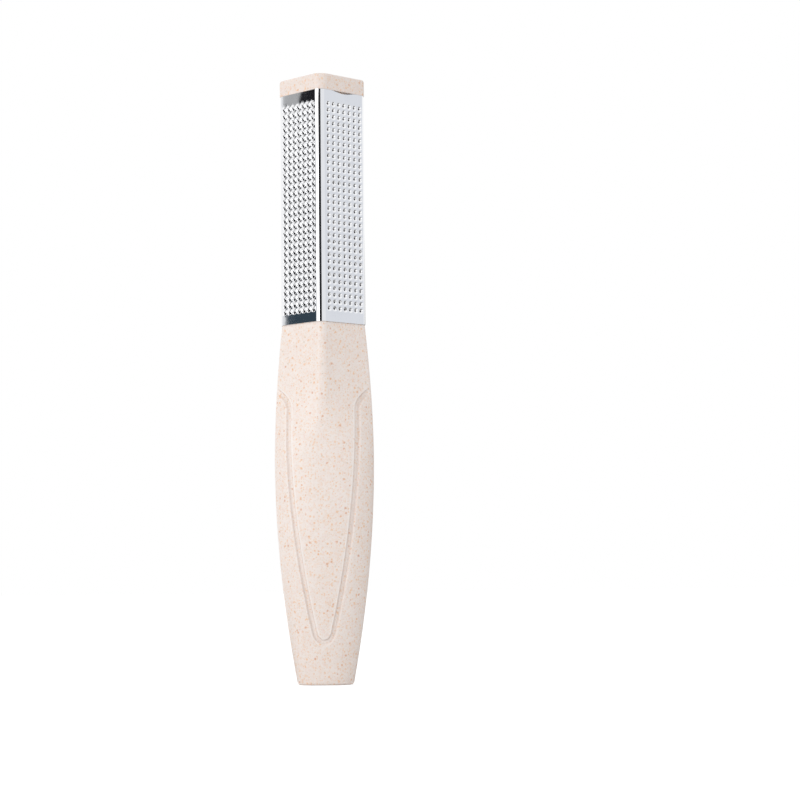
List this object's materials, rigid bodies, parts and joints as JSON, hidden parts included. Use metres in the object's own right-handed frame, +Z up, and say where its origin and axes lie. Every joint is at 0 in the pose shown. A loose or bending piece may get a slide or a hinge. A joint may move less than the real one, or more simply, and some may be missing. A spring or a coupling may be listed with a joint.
{
  "type": "foot file",
  "caption": "Triangular foot file: ridged steel head with a coarse and a fine rasp face, an abrasive strip on its back, and a speckled moulded handle with a thumb scoop.",
  "frame": {"origin": "middle of the butt's flat end face, on the line where the two handle shells meet", "axes": "+Z up the length from the butt to the end cap, -Y towards the steel ridge (the front), +Y towards the abrasive strip (the back), -X towards the coarse face and +X towards the fine face"},
  "size_m": [0.0366, 0.0192, 0.2251],
  "materials": {
    "speckled_plastic": "satin moulded plastic, pale pinkish cream with fine straw-coloured specks",
    "polished_steel": "bright mirror polish",
    "abrasive_grit": "black coated abrasive paper with fine glinting grit",
    "tape_film": "thin double-sided adhesive film"
  },
  "bodies": {
    "root": {"handle_front_shell": "speckled_plastic", "handle_back_shell": "speckled_plastic", "blade_core": "speckled_plastic", "end_cap": "speckled_plastic", "rasp_plate": "polished_steel", "abrasive_strip": "abrasive_grit", "adhesive_tape": "tape_film"}
  },
  "joints": []
}
